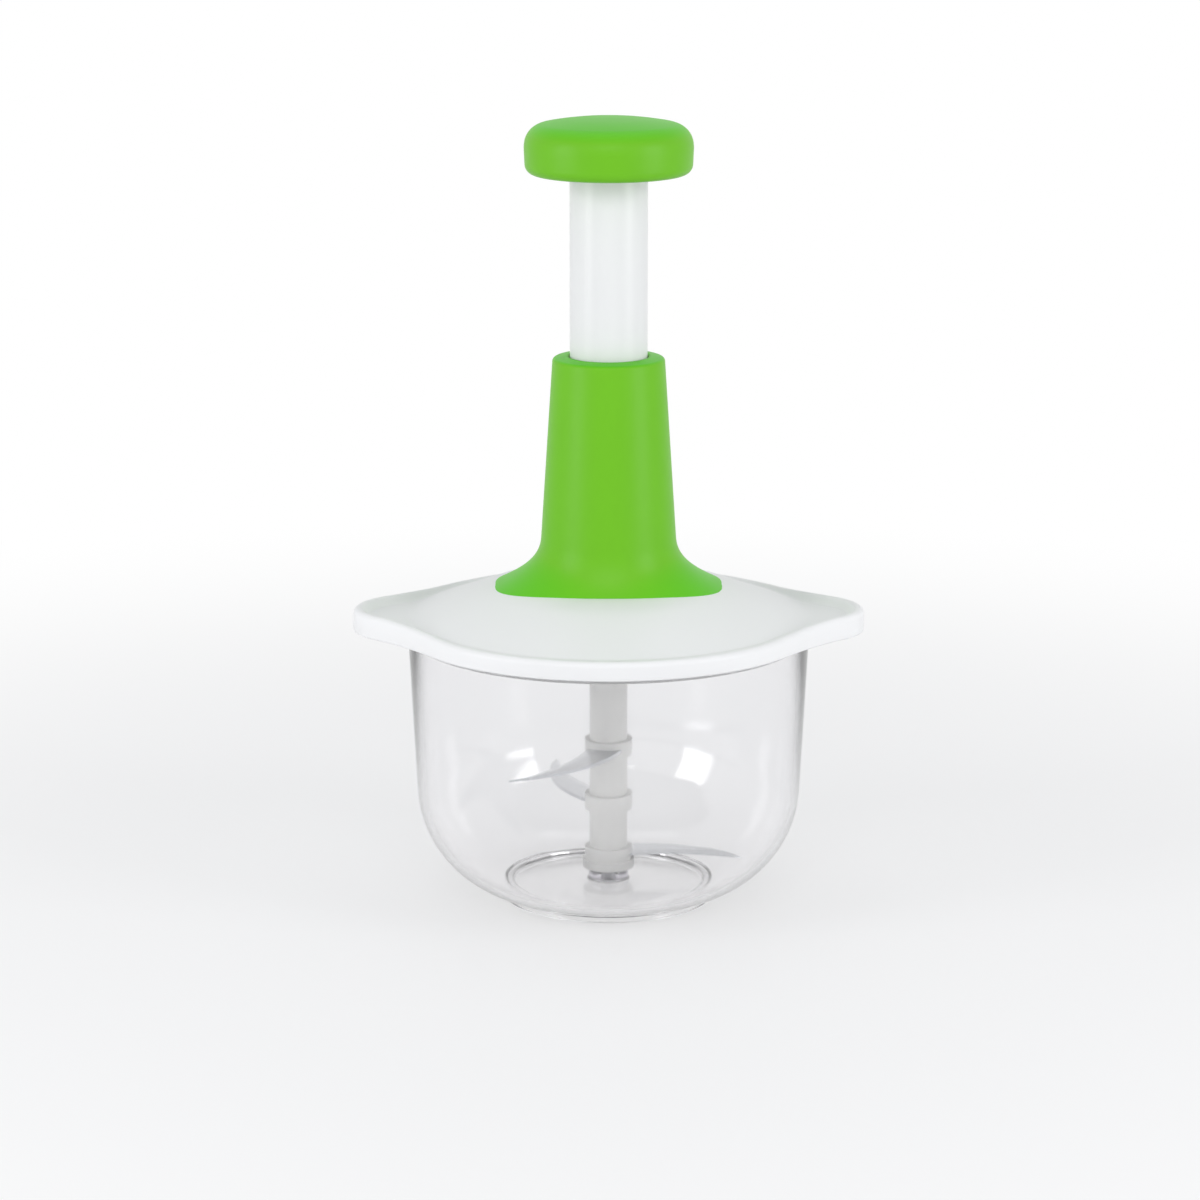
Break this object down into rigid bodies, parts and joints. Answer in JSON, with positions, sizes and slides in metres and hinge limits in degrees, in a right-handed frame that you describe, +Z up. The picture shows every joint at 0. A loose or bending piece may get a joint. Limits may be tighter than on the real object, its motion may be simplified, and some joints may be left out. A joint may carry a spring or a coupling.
{
  "type": "manual food chopper",
  "caption": "press-down food chopper with a clear bowl, a lid with two side ears, a flared tower and a knob on a sliding tube that spins curved blades through a twisted spindle",
  "frame": {"origin": "middle of the foot ring's lower face, on the surface that the bowl stands on", "axes": "+Z up along the plunger's axis, +X through the lid's ears, +Y to the back"},
  "size_m": [0.1668, 0.1354, 0.257],
  "materials": {
    "clear_bowl": "clear moulded styrene plastic, polished",
    "white_lid": "white moulded plastic, soft gloss",
    "white_tube": "white plastic tube, glossy",
    "green_plastic": "apple green moulded plastic, satin gloss",
    "bearing_plastic": "natural white slippery plastic",
    "shaft_plastic": "white moulded plastic",
    "seal": "translucent silicone",
    "steel": "zinc plated or stainless steel",
    "spindle_steel": "drawn and twisted stainless bar",
    "spring_steel": "stainless spring wire",
    "blade_steel": "stamped and ground stainless sheet"
  },
  "bodies": {
    "bowl": {"bowl": "clear_bowl", "pivot_pin": "steel"},
    "lid": {"lid": "white_lid", "lid_gasket": "seal", "tower_housing": "green_plastic", "guide_bush": "bearing_plastic", "tower_screws": "steel", "spindle_bush": "bearing_plastic", "thrust_washer": "steel"},
    "plunger": {"push_knob": "green_plastic", "knob_base": "green_plastic", "knob_screws": "steel", "plunger_tube": "white_tube", "drive_nut": "bearing_plastic", "stop_collar": "bearing_plastic", "nut_pins": "steel"},
    "spindle": {"twisted_spindle": "spindle_steel", "spring_seat": "bearing_plastic", "drive_coupler": "bearing_plastic", "coupler_screw": "steel", "return_spring": "spring_steel"},
    "blade_unit": {"blade_shaft": "shaft_plastic", "blade_lower": "blade_steel", "blade_middle": "blade_steel", "blade_upper": "blade_steel"}
  },
  "joints": [
    {"name": "lid_lift", "type": "slide", "parent": "bowl", "child": "lid", "axis": [0, 0, 1], "range_m": [0, 0.13]},
    {"name": "plunger_press", "type": "slide", "parent": "lid", "child": "plunger", "axis": [0, 0, -1], "range_m": [0, 0.057], "stiffness_N_per_m": 250, "springref_m": -0.04, "deforming": ["return_spring"]},
    {"name": "spindle_spin", "type": "hinge", "parent": "lid", "child": "spindle", "pos_m": [0, 0, 0.1], "axis": [0, 0, 1], "range_deg": [0, 740]},
    {"name": "blade_spin", "type": "hinge", "parent": "bowl", "child": "blade_unit", "pos_m": [0, 0, 0.01], "axis": [0, 0, 1], "range_deg": [0, 740]}
  ],
  "couplings": [
    {"joint": "spindle_spin", "follows": "plunger_press", "rad_per_m": 224.4},
    {"joint": "blade_spin", "follows": "plunger_press", "rad_per_m": 224.4}
  ]
}
